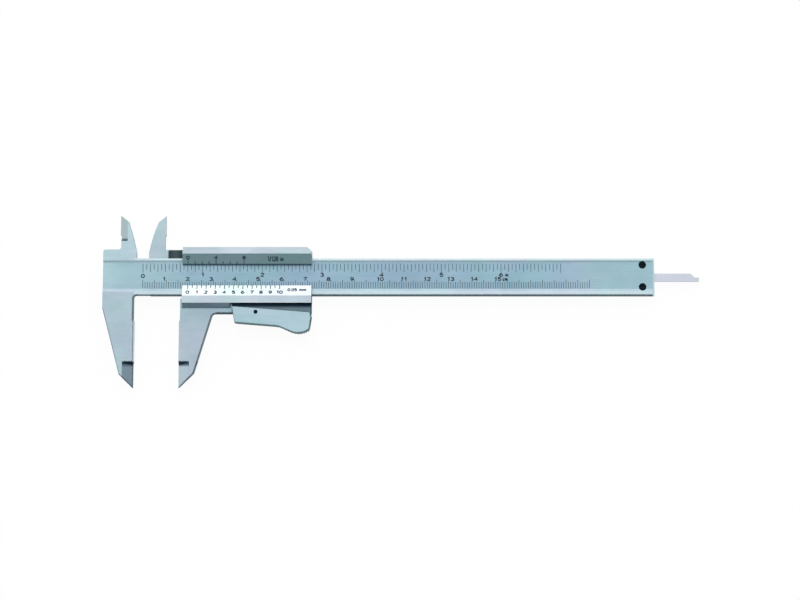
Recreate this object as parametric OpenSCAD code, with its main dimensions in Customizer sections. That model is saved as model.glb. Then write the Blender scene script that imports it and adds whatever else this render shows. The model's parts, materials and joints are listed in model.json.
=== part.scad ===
// Pocket vernier caliper with a thumb lever that frees the slider while it is pressed.
// X runs along the beam, Y across it, Z up from the surface that the caliper lies on.
// Outlines are drawn from the fixed jaw's measuring face, the beam's centre line and that surface.

/* [Beam] */
// Length of the beam past the fixed jaw's measuring face
beam_reach = 221.2; // [200:0.1:240]
// Height of the beam between its running edges
beam_h = 16; // [15:0.1:17]
// Thickness of the beam and of the outside jaws
beam_t = 3.5; // [3.3:0.1:4]
// Depth of the scale channel below the rails
channel_d = 0.35; // [0.2:0.05:0.5]
// Flat width of the upper rail
upper_rail_w = 0.9; // [0.8:0.1:1.4]
// Width of the slope under the upper rail
upper_ramp_w = 0.8; // [0.4:0.1:1]
// Flat width of the lower rail
lower_rail_w = 1.9; // [1.4:0.1:2.2]
// Width of the slope over the lower rail
lower_ramp_w = 1; // [0.6:0.05:1.4]
// Length of the bevel on the beam's free end
end_bevel_l = 1.1; // [0.6:0.1:1.6]
// Depth of the bevel on the beam's free end
end_bevel_d = 0.6; // [0.4:0.1:0.9]
// Width of the chamfers on the long front edges of the beam and of the slider's arm
edge_break = 0.4; // [0.2:0.05:0.5]
// Length of the shallow relief on the beam's lower edge by the fixed jaw
edge_relief_l = 6.8; // [5:0.1:9]
// Depth of that relief
edge_relief_d = 0.2; // [0.1:0.05:0.3]

/* [Outside jaws] */
// Width of the head behind the fixed jaw's measuring face
head_w = 13.4; // [12:0.1:15]
// Height of the head above the beam
head_rise = 3.85; // [3.4:0.05:4.2]
// Drop of both jaw tips below the beam's centre line
jaw_drop = 47.3; // [44:0.1:52]
// Length of the measuring faces, up from the tips
jaw_land = 28.7; // [26:0.1:30]
// Set-back of the jaws above the measuring faces
face_relief = 0.4; // [0.2:0.05:0.5]
// Drop of the head's straight back below the centre line
head_straight = 13.1; // [11:0.1:16]
// Width of the fixed jaw where its tip starts to slant
fixed_tip_w = 5.8; // [5.2:0.1:6.4]
// Width of the moving jaw where its tip starts to slant
moving_tip_w = 6.3; // [5.4:0.1:6.8]
// Width of the moving jaw at its arm
moving_root_w = 14; // [12:0.1:16]
// Width of the knife bevel on the jaw tips
knife_w = 4.5; // [3.6:0.1:5]
// Length of the knife bevel on the jaw tips
knife_l = 11.3; // [9:0.1:13]
// Depth of the knife bevel at the measuring edge, on each side
knife_d = 1.15; // [0.8:0.05:1.3]
// Length of the slope that ends the knife bevel
knife_run = 1.5; // [0.8:0.1:2.2]
// Radius in the corner between fixed jaw and beam
jaw_corner_r = 1.1; // [0.8:0.1:1.4]
// Radius in the corner between moving jaw and arm
arm_corner_r = 1.6; // [1:0.1:2.2]

/* [Inside jaws] */
// Height of the inside jaw tips above the beam's centre line
inside_reach = 26.5; // [24:0.1:29]
// Distance of the inside measuring edges behind the outside ones
inside_offset = 6.2; // [6:0.1:6.6]
// Width of the fixed inside jaw at its root
fixed_root_w = 7.05; // [6.6:0.05:7.2]
// Width of the fixed inside jaw at its shoulder
fixed_shoulder_w = 3.35; // [3:0.05:3.8]
// Drop from the fixed inside tip to its shoulder
fixed_shoulder_drop = 2.6; // [2:0.1:3.4]
// Width of the moving inside jaw at its root
moving_upper_w = 7.3; // [7:0.1:7.8]
// Outward bow of the fixed inside jaw's flank
fixed_bow = 0.2; // [0.1:0.05:0.4]
// Width of the moving inside jaw at its shoulder
moving_shoulder_w = 3.3; // [3:0.1:4]
// Drop from the moving inside tip to its shoulder
moving_shoulder_drop = 2.7; // [2:0.1:4]
// Outward bow of the moving inside jaw's flank
moving_bow = 0.4; // [0.1:0.05:0.6]
// Straight height of both roots above the head's or arm's lower edge
root_straight = 2.5; // [1.5:0.1:3.5]
// Measuring length of the inside jaws, down from their tips
inside_land = 8.5; // [7:0.1:11]
// Set-back of the inside jaws' edges below their measuring length
inside_relief = 0.4; // [0.1:0.05:0.5]
// Radius in the corner between the fixed inside jaw and the head
inside_root_r = 1; // [0.5:0.1:1.5]
// Length of the edge bevel on the fixed inside jaw, down from its tip
fixed_bevel_l = 11; // [9:0.1:12]
// Width of the edge bevel on the front of the fixed inside jaw
fixed_bevel_w = 3.1; // [2.6:0.1:3.3]
// Width of the edge bevel on the back of the moving inside jaw
moving_bevel_w = 2.2; // [1.5:0.1:3]
// Depth of the edge bevels on the inside jaws
inside_bevel_d = 0.9; // [0.6:0.1:1.2]
// Length of the slope that ends those bevels
inside_run = 0.8; // [0.6:0.1:1.6]

/* [Slider] */
// Opening at which the caliper is drawn
jaw_opening = 19.3; // [15:0.1:60]
// Distance from the moving measuring face to the slider's near end
slider_start = 1.3; // [1.2:0.1:1.8]
// Length of the slider
slider_len = 54.8; // [54:0.1:60]
// Height of the slider above the beam's upper edge
slider_rise = 4.8; // [4.5:0.1:5.4]
// Height of the ridges above the beam's rails
ridge_h = 2.05; // [1.8:0.05:2.4]
// Width of the slope above the upper ridge
crown_w = 2.95; // [2.8:0.05:3.6]
// Fall of the slope above the upper ridge
crown_fall = 1.45; // [1:0.05:1.7]
// Cover of the upper scale lip over the beam
upper_lip = 2.85; // [2.8:0.01:3.6]
// Cover of the lower scale lip over the beam
lower_lip = 4.36; // [3.8:0.01:4.6]
// Thickness of the scale lips at their edges
lip_t = 0.25; // [0.2:0.05:0.4]
// Depth of the lower rail of the slider, below the beam
lower_wall = 3.25; // [3:0.05:3.6]
// Flat width of the lower ridge
lower_ridge_w = 3.2; // [2.4:0.1:3.4]
// Width of the slope under the lower ridge
apron_w = 1.8; // [1.2:0.1:2.2]
// Thickness of the slider's back wall
back_wall = 1.5; // [1.3:0.1:2]
// Drop of the arm's lower edge below the beam
arm_drop = 7.7; // [7.6:0.1:8.6]
// Length of the slanted corner at the slider's far end
far_corner_l = 2; // [1:0.1:3]
// Height of the slanted corner at the slider's far end
far_corner_h = 1.7; // [1:0.1:2]

/* [Gib and depth rod] */
// Thickness of the gib strip
gib_t = 1.47; // [1.3:0.01:1.5]
// Length of the gib strip inside the slider
gib_l = 53; // [50:0.5:53.5]
// Length of the gib's end tab that shows beside the slider
tab_l = 6.4; // [5.5:0.1:6.6]
// Height of the gib's end tab
tab_h = 3.4; // [3:0.1:3.5]
// Thickness of the gib's end tab
tab_t = 0.6; // [0.5:0.05:0.7]
// Radius of the gib's set screws
gib_screw_r = 1; // [0.8:0.1:1.2]
// Width of the depth rod
rod_w = 3.4; // [2.8:0.1:4]
// Depth of the rod in the beam's groove
rod_t = 1.6; // [1.3:0.1:1.8]
// Length of the rod's slanted end
rod_slant_l = 1.8; // [1.2:0.1:2.4]
// Length of the rod's measuring nose
rod_nose_l = 1.8; // [1.2:0.1:2.4]
// Radius of the rivets in the rod's foot
rivet_r = 0.8; // [0.6:0.05:0.9]

/* [End stop] */
// Length of the stop plate on the beam's back
stop_l = 10; // [9:0.5:11]
// Distance of the stop screws from the beam's free end
stop_screw_in = 5.05; // [4:0.05:6]
// Spacing of the two stop screws
stop_screw_pitch = 9.4; // [9:0.1:9.6]
// Radius of the stop screws' heads
stop_head_r = 1.6; // [1.4:0.05:1.7]
// Radius of the stop screws' shanks
stop_shank_r = 1; // [0.8:0.05:1.1]
// Height of the stop screws' heads
stop_head_h = 1; // [0.8:0.05:1.2]

/* [Lock lever] */
// Distance from the moving measuring face to the lever's pin
pin_x = 32.5; // [31:0.1:34]
// Depth of the lever's pin below the beam
pin_drop = 7; // [6.8:0.1:7.4]
// Radius of the lever's pin
pin_r = 0.85; // [0.7:0.05:1]
// Reach of the lever in front of its pin
lever_front = 10.1; // [10:0.1:10.8]
// Reach of the lever behind its pin
lever_back = 23.6; // [22:0.1:24]
// Slope of the lever's upper edge at rest
lever_slope_deg = 4.6; // [4:0.1:5]
// Height of the lever's upper edge above the pin, square to the edge
lever_over_pin = 1.55; // [1.4:0.01:1.7]
// Depth of the lever below the pin, on the pin's line
lever_under_pin = 5.3; // [5:0.05:5.5]
// Sheet thickness of the lever
lever_wall = 1; // [0.8:0.1:1.1]
// Side play between the lever and the web that it straddles
lever_play = 0.1; // [0.08:0.01:0.15]
// Distance from the pin to the start of the thumb pad's swell
swell_start = 8.6; // [7:0.1:10]
// Distance from the pin to the lowest point of the thumb pad
pad_x = 18; // [17:0.1:19]
// Depth of the thumb pad's swell
pad_swell = 2.4; // [1.8:0.05:3]
// Radius of the thumb pad
pad_r = 8; // [7:0.1:10]
// Number of grip grooves on the thumb pad
grip_count = 11; // [7:1:11]
// Spacing of the grip grooves on the thumb pad
grip_pitch = 0.95; // [0.8:0.05:1.2]
// Radius of the grip grooves
grip_r = 0.3; // [0.2:0.05:0.35]
// Radius of the brake pin
brake_r = 1.2; // [1:0.05:1.25]
// Distance from the lever's pin forward to the brake pin
brake_arm = 8.6; // [8:0.1:8.9]
// Distance from the lever's pin back to its spring
spring_arm = 17; // [15:0.1:18]
// Radius of the spring over its wire
spring_r = 1.15; // [1:0.05:1.2]
// Radius of the spring's wire
wire_r = 0.17; // [0.12:0.01:0.18]

/* [Hidden] */
$fn = 48;

// Overrun of every cut past the face that it leaves
over = 0.5;
// Segments in a rounded corner of an outline
arc_steps = 8;
// Segments along a bowed flank
bow_steps = 16;
// Segments along the lever's lower edge
lever_steps = 32;

// Clearance between the slider and the beam
run_gap = 0.05;
// Clearance between the gib and the beam
gib_gap = 0.03;
// Clearance of a pin in a bore that it turns or slides in
pin_gap = 0.03;
// Clearance of a fixed pin, screw or rivet in its hole
fixed_gap = 0.02;
// Clearance beside and over the depth rod
rod_gap = 0.1;
// Small rounding along the slider's long edges
edge_r = 0.15;
// Rounding of the head's upper corner and of the stop plate's near corners
head_r = 1;

// Heights of the beam's back, its front and its middle plane, where the inside jaws cross
beam_back = back_wall + run_gap;
beam_front = beam_back + beam_t;
split_z = beam_back + beam_t / 2;
// Front of what passes behind the fixed inside jaw
rear_front = split_z - run_gap;
// Floor of the scale channel
channel_z = beam_front - channel_d;
// Distance of both running edges from the beam's centre line
beam_edge = beam_h / 2;
// Upper end of the outside measuring faces and lower end of the inside ones
face_top_y = -(jaw_drop - jaw_land);
inside_low_y = inside_reach - inside_land;
// Top of the head
head_top = beam_edge + head_rise;

// Ends and top of the slider, along X from the moving measuring face
slider_end = slider_start + slider_len;
slider_top = beam_edge + slider_rise;
// Height of both ridges and the place of the upper one
ridge_z = beam_front + ridge_h;
upper_ridge_y = slider_top - crown_w;
// Underside of the scale lips
lip_z = beam_front + run_gap;
// Sides of the channel in the slider that the beam and the gib fill
channel_top_y = beam_edge + gib_gap + gib_t + run_gap;
channel_low_y = -beam_edge - run_gap;
// Outer face of the lower rail, lower edge of the arm under it, and lower edge of the inside jaw's arm
lower_ridge_y = channel_low_y - lower_wall;
arm_y = -beam_edge - arm_drop;
arm_low_y = beam_edge + rod_gap;

// Length of the gib's tab that is let into the slider
tab_root = 1;
// Gib screws along the slider, and how far their heads lie below its top
gib_screw_near_x = 17;
gib_screw_far_x = 43;
gib_screw_sink = 0.3;
// Width and depth of a screw slot as shares of the head's radius, the last one for headless screws
slot_w_share = 0.36;
slot_d_share = 0.35;
deep_slot_share = 0.7;

// Front of the depth rod, the floor of its groove and the groove's start past the fixed jaw
rod_z = beam_back + rod_t;
groove_z = rod_z + rod_gap;
groove_x = 15;

// Cover plate let into the slider's back, and its distance from the slider's far end
cover_l = 26;
cover_h = 12;
cover_t = back_wall / 2;
cover_end_in = 3.1;
cover_x = slider_end - cover_end_in - cover_l;
// Window behind the cover plate, and the rims that it leaves
window_in = 3.5;
window_side = 0.8;
window_l = cover_l - 2 * window_in;
window_h = rod_w + 2 * window_side;
// Screws of the cover plate
cover_screw_in = 1.7;
cover_screw_r = 0.6;
cover_head_r = 1;
cover_head_h = 0.4;
// Rod's foot on the cover plate, in from the plate's ends, and its rivets, in from the window's ends
rod_foot_in = 4.5;
rivet_in = 3;

// Place of the stop screws, and the shift of the pair above the centre line
stop_x = beam_reach - stop_screw_in;
stop_shift = 0.5;

// Boss of the web round the lever's pin, and the apron's gap to the lever's front end
lug_wall = 1.7;
lug_r = pin_r + lug_wall;
apron_gap = 0.9;
apron_end = pin_x - lever_front - apron_gap;
// Lever's pin and the outer faces of the lever's two side walls
pin_y = -beam_edge - pin_drop;
lever_z0 = beam_back - lever_play - lever_wall;
lever_z1 = beam_front + lever_play + lever_wall;
// Insets of the lever's lower near corner, lower far corner and upper far corner
lever_near_in = 1.2;
lever_far_in = 0.9;
lever_top_in = 0.4;
// Drop of the lever's far shoulder below its upper edge
lever_shoulder = 1.8;

// Nose of the lever that pushes the brake pin, and its rounded top
nose_w = 2.6;
nose_r = 0.7;
// Brake pin, its stand below the arm, and its gap to the beam and to the nose
brake_x = pin_x - brake_arm;
brake_stand = 0.85;
brake_touch = 0.02;
brake_low_y = arm_y - brake_stand;

// Bore in the web that holds the spring's upper end
spring_x = pin_x + spring_arm;
spring_bore_gap = 0.2;
spring_bore_d = 2.8;
// Gap at both ends of the spring, its turns, and the rings and sides of the wire
spring_seat = 0.05;
spring_curls = 7;
spring_rings = 8;
spring_sides = 6;

// Footprint centre, which is the part's origin
mid_x = (beam_reach + jaw_opening - head_w) / 2;
mid_y = (inside_reach - jaw_drop) / 2;

function unit(v) = v / norm(v);

// Points of one outline corner p between a and b, rounded to radius r
function corner(a, p, b, r) = r <= 0 ? [p] :
    let (u = unit(a - p), v = unit(b - p), h = acos(u * v) / 2,
        c = p + unit(u + v) * r / sin(h), s = p + u * r / tan(h), e = p + v * r / tan(h))
    [for (i = [0:arc_steps]) c + r * unit(s + (e - s) * i / arc_steps - c)];

// Outline from corners [x, y, radius]
function outline(c) = let (n = len(c)) [for (i = [0:n - 1]) each
    corner(xy(c[(i + n - 1) % n]), xy(c[i]), xy(c[(i + 1) % n]), c[i][2])];
function xy(p) = [p[0], p[1]];

// Points from a to b along an arc that bows out to the left of that line
function bow(a, b, rise) = let (n = unit([a[1] - b[1], b[0] - a[0]]))
    [for (i = [0:bow_steps]) let (t = i / bow_steps) a + (b - a) * t + n * 4 * rise * t * (1 - t)];

// Smooth step from 0 to 1
function ease(t) = t * t * (3 - 2 * t);

// Height of the lever's bottom edge over the pin at distance x from it: straight, then the pad's swell
function lever_line(x) = -lever_under_pin - x * tan(lever_slope_deg);
function pad_low() = lever_line(pad_x) - pad_swell;
function swell(x) = ease((x - swell_start) / (pad_x - swell_start));
function lever_bottom(x) = x <= swell_start ? lever_line(x) :
    x <= pad_x ? lever_line(x) + (pad_low() - lever_line(x)) * swell(x) :
    pad_low() + pad_r - sqrt(pad_r * pad_r - (x - pad_x) * (x - pad_x));

// Lever's bottom edge as points from x0 to x1, raised by lift
function lever_edge(x0, x1, lift) = [for (i = [0:lever_steps])
    let (x = x0 + (x1 - x0) * i / lever_steps) [x, lever_bottom(x) + lift]];

// Puts pieces that are drawn from the fixed or the moving measuring face into the part's frame
module placed() { translate([-mid_x, -mid_y, 0]) children(); }
module on_slider() { placed() translate([jaw_opening, 0, 0]) children(); }
module block(a, b) { translate(a) cube(b - a); }
module plate(z0, z1, points) { translate([0, 0, z0]) linear_extrude(z1 - z0) polygon(points); }
// Prism along X with its outline in Y and Z
module along_x(x0, x1, points) {
    translate([x0, 0, 0]) rotate([90, 0, 90]) linear_extrude(x1 - x0) polygon(points);
}
// Prism along Y, from y1 down to y0, with its outline in X and Z
module along_y(y0, y1, points) {
    translate([0, y1, 0]) rotate([90, 0, 0]) linear_extrude(y1 - y0) polygon(points);
}
module rod_up(x, y, z0, z1, r) { translate([x, y, z0]) cylinder(h = z1 - z0, r = r); }
module rod_along_y(x, z, y0, y1, r) {
    translate([x, y0, z]) rotate([-90, 0, 0]) cylinder(h = y1 - y0, r = r);
}

// Bevels a measuring edge at x = 0 on material that lies to the side given by dir, from the tip
// to a slope of the length run that climbs back to the face at end_y
module edge_bevel(dir, w, d, z, up, tip_y, end_y, run) {
    slope = d / w;
    way = sign(end_y - tip_y) * run / d;
    low = d + over * slope;
    far_y = end_y + way * over;
    low_z = z - up * (low + over);
    high_z = z + up * over;
    intersection() {
        along_y(min(tip_y, far_y), max(tip_y, far_y), [[dir * w, z], [-dir * over, z - up * low],
            [-dir * over, high_z], [dir * w, high_z]]);
        along_x(-w - over, w + over, [[tip_y, low_z], [end_y - way * (low + over), low_z],
            [far_y, high_z], [tip_y, high_z]]);
    }
}
module knife_bevels(dir) {
    tip_y = -jaw_drop - over;
    end_y = -jaw_drop + knife_l;
    edge_bevel(dir, knife_w, knife_d, beam_front, 1, tip_y, end_y, knife_run);
    edge_bevel(dir, knife_w, knife_d, beam_back, -1, tip_y, end_y, knife_run);
}
// Bevel on the front or the back of an inside jaw, at the height z
module inside_bevel(dir, w, z, up, length) {
    translate([-inside_offset, 0, 0])
        edge_bevel(dir, w, inside_bevel_d, z, up, inside_reach + over, inside_reach - length, inside_run);
}
// Cut of a chamfer along a front edge at y, on material that lies to the side given by dir
module front_chamfer(x0, x1, y, dir) {
    along_x(x0, x1, [[y + dir * edge_break, beam_front], [y, beam_front - edge_break],
        [y - dir * over, beam_front - edge_break - over], [y - dir * over, beam_front + over],
        [y + dir * edge_break, beam_front + over]]);
}

// Beam with the head, the fixed outside jaw and the fixed inside jaw
module fixed_lower_jaw() {
    plate(beam_back, beam_front, outline([[-head_w, 0, 0], [-head_w, -head_straight, 0],
        [-fixed_tip_w, -jaw_drop + fixed_tip_w, 0], [0, -jaw_drop, 0], [0, face_top_y, 0],
        [-face_relief, face_top_y, 0], [-face_relief, -beam_edge + edge_relief_d, jaw_corner_r],
        [edge_relief_l, -beam_edge + edge_relief_d, 0], [edge_relief_l, 0, 0]]));
}
module fixed_upper_jaw() {
    root_x = -inside_offset + fixed_root_w;
    edge_x = -inside_offset + inside_relief;
    shoulder = [-inside_offset + fixed_shoulder_w, inside_reach - fixed_shoulder_drop];
    plate(split_z, beam_front, concat(
        outline([[edge_x, inside_low_y, 0], [edge_x, head_top, inside_root_r],
            [-head_w, head_top, head_r], [-head_w, 0, 0], [root_x, 0, 0]]),
        bow([root_x, beam_edge + root_straight], shoulder, -fixed_bow),
        [[-inside_offset, inside_reach], [-inside_offset, inside_low_y]]));
}
module beam_bar() {
    difference() {
        block([-head_w, -beam_edge, beam_back], [beam_reach, beam_edge, beam_front]);
        block([-face_relief, -beam_edge - over, beam_back - over],
            [edge_relief_l, -beam_edge + edge_relief_d, beam_front + over]);
    }
}
module scale_channel() {
    top = beam_edge - upper_rail_w;
    low = -beam_edge + lower_rail_w;
    along_x(-head_w - over, beam_reach + over, [[low, beam_front + over], [low, beam_front],
        [low + lower_ramp_w, channel_z], [top - upper_ramp_w, channel_z], [top, beam_front],
        [top, beam_front + over]]);
}
module beam_end_bevel() {
    along_y(-beam_edge - over, beam_edge + over, [[beam_reach - end_bevel_l, beam_front],
        [beam_reach, beam_front - end_bevel_d], [beam_reach + over, beam_front - end_bevel_d],
        [beam_reach + over, beam_front + over], [beam_reach - end_bevel_l, beam_front + over]]);
}
function stop_y(side) = stop_shift + side * stop_screw_pitch / 2;
module stop_hole(side) {
    rod_up(stop_x, stop_y(side), -over, beam_front + over, stop_shank_r + fixed_gap);
    rod_up(stop_x, stop_y(side), channel_z - stop_head_h, beam_front + over, stop_head_r + fixed_gap);
}
module beam() {
    color("lightsteelblue") placed() difference() {
        union() {
            beam_bar();
            fixed_lower_jaw();
            fixed_upper_jaw();
        }
        scale_channel();
        beam_end_bevel();
        block([groove_x, -rod_w / 2 - rod_gap, beam_back - over],
            [beam_reach + over, rod_w / 2 + rod_gap, groove_z]);
        stop_hole(1);
        stop_hole(-1);
        front_chamfer(edge_relief_l, beam_reach + over, -beam_edge, 1);
        front_chamfer(fixed_root_w, beam_reach + over, beam_edge, -1);
        knife_bevels(-1);
        inside_bevel(1, fixed_bevel_w, beam_front, 1, fixed_bevel_l);
    }
}

// Stop plate behind the beam's free end, which also guides the depth rod
module end_stop_plate() {
    side_y = beam_edge - head_r;
    near_x = beam_reach - stop_l;
    color("lightslategray") placed() difference() {
        plate(0, beam_back, outline([[beam_reach, -side_y, 0], [beam_reach, side_y, 0],
            [near_x, side_y, head_r], [near_x, -side_y, head_r]]));
        block([near_x - over, -rod_w / 2 - rod_gap, beam_back - run_gap - rod_gap],
            [beam_reach + over, rod_w / 2 + rod_gap, beam_back + over]);
        for (side = [-1, 1])
            rod_up(stop_x, stop_y(side), -over, beam_back + over, stop_shank_r + fixed_gap);
    }
}
module slot(x, y, z, r) {
    w = r * slot_w_share;
    block([x - r - over, y - w / 2, z - r * slot_d_share], [x + r + over, y + w / 2, z + over]);
}
module stop_screw(side) {
    color("dimgray") placed() difference() {
        union() {
            rod_up(stop_x, stop_y(side), channel_z - stop_head_h, channel_z, stop_head_r);
            rod_up(stop_x, stop_y(side), 0, channel_z - stop_head_h, stop_shank_r);
        }
        slot(stop_x, stop_y(side), channel_z, stop_head_r);
    }
}
module end_stop_screw_upper() { stop_screw(1); }
module end_stop_screw_lower() { stop_screw(-1); }

// Slider with the moving outside jaw, the moving inside jaw and both scale lips
module slider_channel() {
    along_x(slider_start, slider_end, outline([[slider_top, 0, edge_r],
        [slider_top, ridge_z - crown_fall, edge_r], [upper_ridge_y, ridge_z, edge_r],
        [beam_edge - upper_lip, lip_z + lip_t, 0],
        [beam_edge - upper_lip, lip_z, 0], [channel_top_y, lip_z, 0], [channel_top_y, back_wall, 0],
        [channel_low_y, back_wall, 0], [channel_low_y, lip_z, 0], [-beam_edge + lower_lip, lip_z, 0],
        [-beam_edge + lower_lip, lip_z + lip_t, 0], [lower_ridge_y + lower_ridge_w, ridge_z, edge_r],
        [lower_ridge_y, ridge_z, edge_r], [lower_ridge_y, 0, edge_r]]));
    along_x(slider_start, apron_end, [[lower_ridge_y, beam_front - over], [lower_ridge_y, ridge_z - edge_r],
        [lower_ridge_y - apron_w, beam_front], [lower_ridge_y - apron_w, beam_front - over]]);
}
module moving_lower_jaw() {
    near_y = channel_low_y - jaw_corner_r;
    plate(beam_back, beam_front, outline([[0, -jaw_drop, 0], [0, face_top_y, 0],
        [face_relief, face_top_y, 0],
        [face_relief, near_y, 0], [slider_start, near_y, 0], [slider_start, channel_low_y - over, 0],
        [slider_end, channel_low_y - over, 0], [slider_end, arm_y, edge_r],
        [moving_root_w, arm_y, arm_corner_r], [moving_tip_w, -jaw_drop + moving_tip_w, 0]]));
    rod_up(pin_x, pin_y, beam_back, beam_front, lug_r);
}
module moving_upper_jaw() {
    flank_x = -inside_offset - moving_upper_w;
    edge_x = -inside_offset - inside_relief;
    shoulder = [-inside_offset - moving_shoulder_w, inside_reach - moving_shoulder_drop];
    plate(beam_back, rear_front, concat(
        [[edge_x, inside_low_y], [-inside_offset, inside_low_y], [-inside_offset, inside_reach]],
        bow(shoulder, [flank_x, beam_edge + root_straight], -moving_bow),
        [[flank_x, arm_low_y], [slider_start, arm_low_y], [slider_start, channel_top_y],
        [slider_start + over, channel_top_y], [slider_start + over, head_top], [edge_x, head_top]]));
}
module tab_pocket() {
    block([slider_start - tab_l - rod_gap, arm_low_y - over, rear_front - run_gap - tab_t - run_gap],
        [slider_start + tab_root + rod_gap, arm_low_y + tab_h + 2 * rod_gap, split_z]);
}
module cover_window() {
    block([cover_x, -cover_h / 2, -over], [cover_x + cover_l, cover_h / 2, cover_t]);
    block([cover_x + window_in, -window_h / 2, -over],
        [cover_x + window_in + window_l, window_h / 2, back_wall + over]);
}
function cover_screw_at(i) = [cover_x + (i < 2 ? cover_screw_in : cover_l - cover_screw_in),
    (i % 2 == 0 ? 1 : -1) * (cover_h / 2 - cover_screw_in)];
module cover_hole(i, top, r) {
    rod_up(cover_screw_at(i)[0], cover_screw_at(i)[1], -over, top, r + fixed_gap);
}
module slider_body() {
    color("lightblue") on_slider() difference() {
        union() {
            slider_channel();
            moving_lower_jaw();
            moving_upper_jaw();
        }
        knife_bevels(1);
        inside_bevel(-1, moving_bevel_w, beam_back, -1, inside_land);
        front_chamfer(moving_root_w + arm_corner_r, slider_end + over, arm_y, 1);
        plate(-over, ridge_z + over, [[slider_end - far_corner_l, slider_top + over],
            [slider_end - far_corner_l, slider_top], [slider_end, slider_top - far_corner_h],
            [slider_end + over, slider_top - far_corner_h], [slider_end + over, slider_top + over]]);
        tab_pocket();
        cover_window();
        for (i = [0:3])
            cover_hole(i, back_wall + over, cover_screw_r);
        for (x = [gib_screw_near_x, gib_screw_far_x])
            rod_along_y(x, split_z, channel_top_y - over, slider_top + over, gib_screw_r + fixed_gap);
        rod_along_y(brake_x, split_z, arm_y - over, channel_low_y + over, brake_r + pin_gap);
        rod_along_y(spring_x, split_z, arm_y - over, arm_y + spring_bore_d, spring_r + spring_bore_gap);
        rod_up(pin_x, pin_y, beam_back - over, beam_front + over, pin_r + fixed_gap);
    }
}

// Gib strip that takes up play on the beam's upper edge, with its end tab
module gib_strip() {
    gib_y = beam_edge + gib_gap;
    tab_z = rear_front - run_gap - tab_t;
    color("dimgray") on_slider() {
        block([slider_start, gib_y, beam_back], [slider_start + gib_l, gib_y + gib_t, beam_front]);
        block([slider_start - tab_l, arm_low_y + rod_gap, tab_z],
            [slider_start + tab_root, arm_low_y + rod_gap + tab_h, tab_z + tab_t]);
    }
}
module gib_screw(x) {
    gib_top = beam_edge + gib_gap + gib_t;
    head_y = slider_top - gib_screw_sink;
    w = gib_screw_r * slot_w_share;
    color("dimgray") on_slider() difference() {
        rod_along_y(x, split_z, gib_top, head_y, gib_screw_r);
        block([x - gib_screw_r - over, head_y - gib_screw_r * deep_slot_share, split_z - w / 2],
            [x + gib_screw_r + over, head_y + over, split_z + w / 2]);
    }
}
module gib_screw_near() { gib_screw(gib_screw_near_x); }
module gib_screw_far() { gib_screw(gib_screw_far_x); }

// Cover plate that closes the slider's back and carries the depth rod
function rivet_x(side) = cover_x + cover_l / 2 + side * (window_l / 2 - rivet_in);
module rod_cover_plate() {
    color("lightslategray") on_slider() difference() {
        block([cover_x + run_gap, -cover_h / 2 + run_gap, 0],
            [cover_x + cover_l - run_gap, cover_h / 2 - run_gap, cover_t]);
        for (side = [-1, 1])
            rod_up(rivet_x(side), 0, -over, cover_t + over, rivet_r + fixed_gap);
        for (i = [0:3]) {
            cover_hole(i, cover_t + over, cover_screw_r);
            cover_hole(i, cover_head_h, cover_head_r);
        }
    }
}
module cover_screw(i) {
    x = cover_screw_at(i)[0];
    y = cover_screw_at(i)[1];
    color("dimgray") on_slider() difference() {
        union() {
            rod_up(x, y, 0, cover_head_h, cover_head_r);
            rod_up(x, y, cover_head_h, back_wall, cover_screw_r);
        }
        mirror([0, 0, 1]) slot(x, y, 0, cover_head_r / 2);
    }
}
module cover_screw_1() { cover_screw(0); }
module cover_screw_2() { cover_screw(1); }
module cover_screw_3() { cover_screw(2); }
module cover_screw_4() { cover_screw(3); }

// Depth rod in the beam's groove, with its foot on the cover plate
module depth_rod() {
    x0 = cover_x + rod_foot_in;
    color("lightsteelblue") on_slider() difference() {
        union() {
            plate(back_wall, rod_z, [[x0, -rod_w / 2], [beam_reach, -rod_w / 2], [beam_reach, 0],
                [beam_reach - rod_nose_l, 0], [beam_reach - rod_nose_l - rod_slant_l, rod_w / 2],
                [x0, rod_w / 2]]);
            block([x0, -rod_w / 2, cover_t],
                [cover_x + cover_l - rod_foot_in, rod_w / 2, back_wall + over]);
        }
        for (side = [-1, 1])
            rod_up(rivet_x(side), 0, -over, rod_z + over, rivet_r + fixed_gap);
    }
}
module rod_rivet(side) {
    color("lightgray") on_slider() rod_up(rivet_x(side), 0, 0, rod_z, rivet_r);
}
module rod_rivet_near() { rod_rivet(-1); }
module rod_rivet_far() { rod_rivet(1); }

// Lock lever, a channel that straddles the web, drawn from its pin
function lever_top(x) = lever_over_pin / cos(lever_slope_deg) - x * tan(lever_slope_deg);
module lever_outline(lift, grow) {
    x0 = -lever_front + lever_near_in;
    x1 = lever_back - lever_far_in;
    polygon(concat(lever_edge(x0 - grow, x1 + grow, lift),
        [[lever_back + grow, lever_top(lever_back) - lever_shoulder],
        [lever_back - lever_top_in + grow, lever_top(lever_back - lever_top_in) + grow],
        [-lever_front - grow, lever_top(-lever_front) + grow]]));
}
function grip_x(i) = pad_x + (i - (grip_count - 1) / 2) * grip_pitch;
module grip_groove(x) { translate([x, lever_bottom(x)]) circle(r = grip_r); }
module lever_channel() {
    difference() {
        translate([0, 0, lever_z0]) linear_extrude(lever_z1 - lever_z0) difference() {
            lever_outline(0, 0);
            for (i = [0:grip_count - 1]) grip_groove(grip_x(i));
        }
        translate([0, 0, lever_z0 + lever_wall])
            linear_extrude(lever_z1 - lever_z0 - 2 * lever_wall) lever_outline(lever_wall, over);
    }
}
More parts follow.
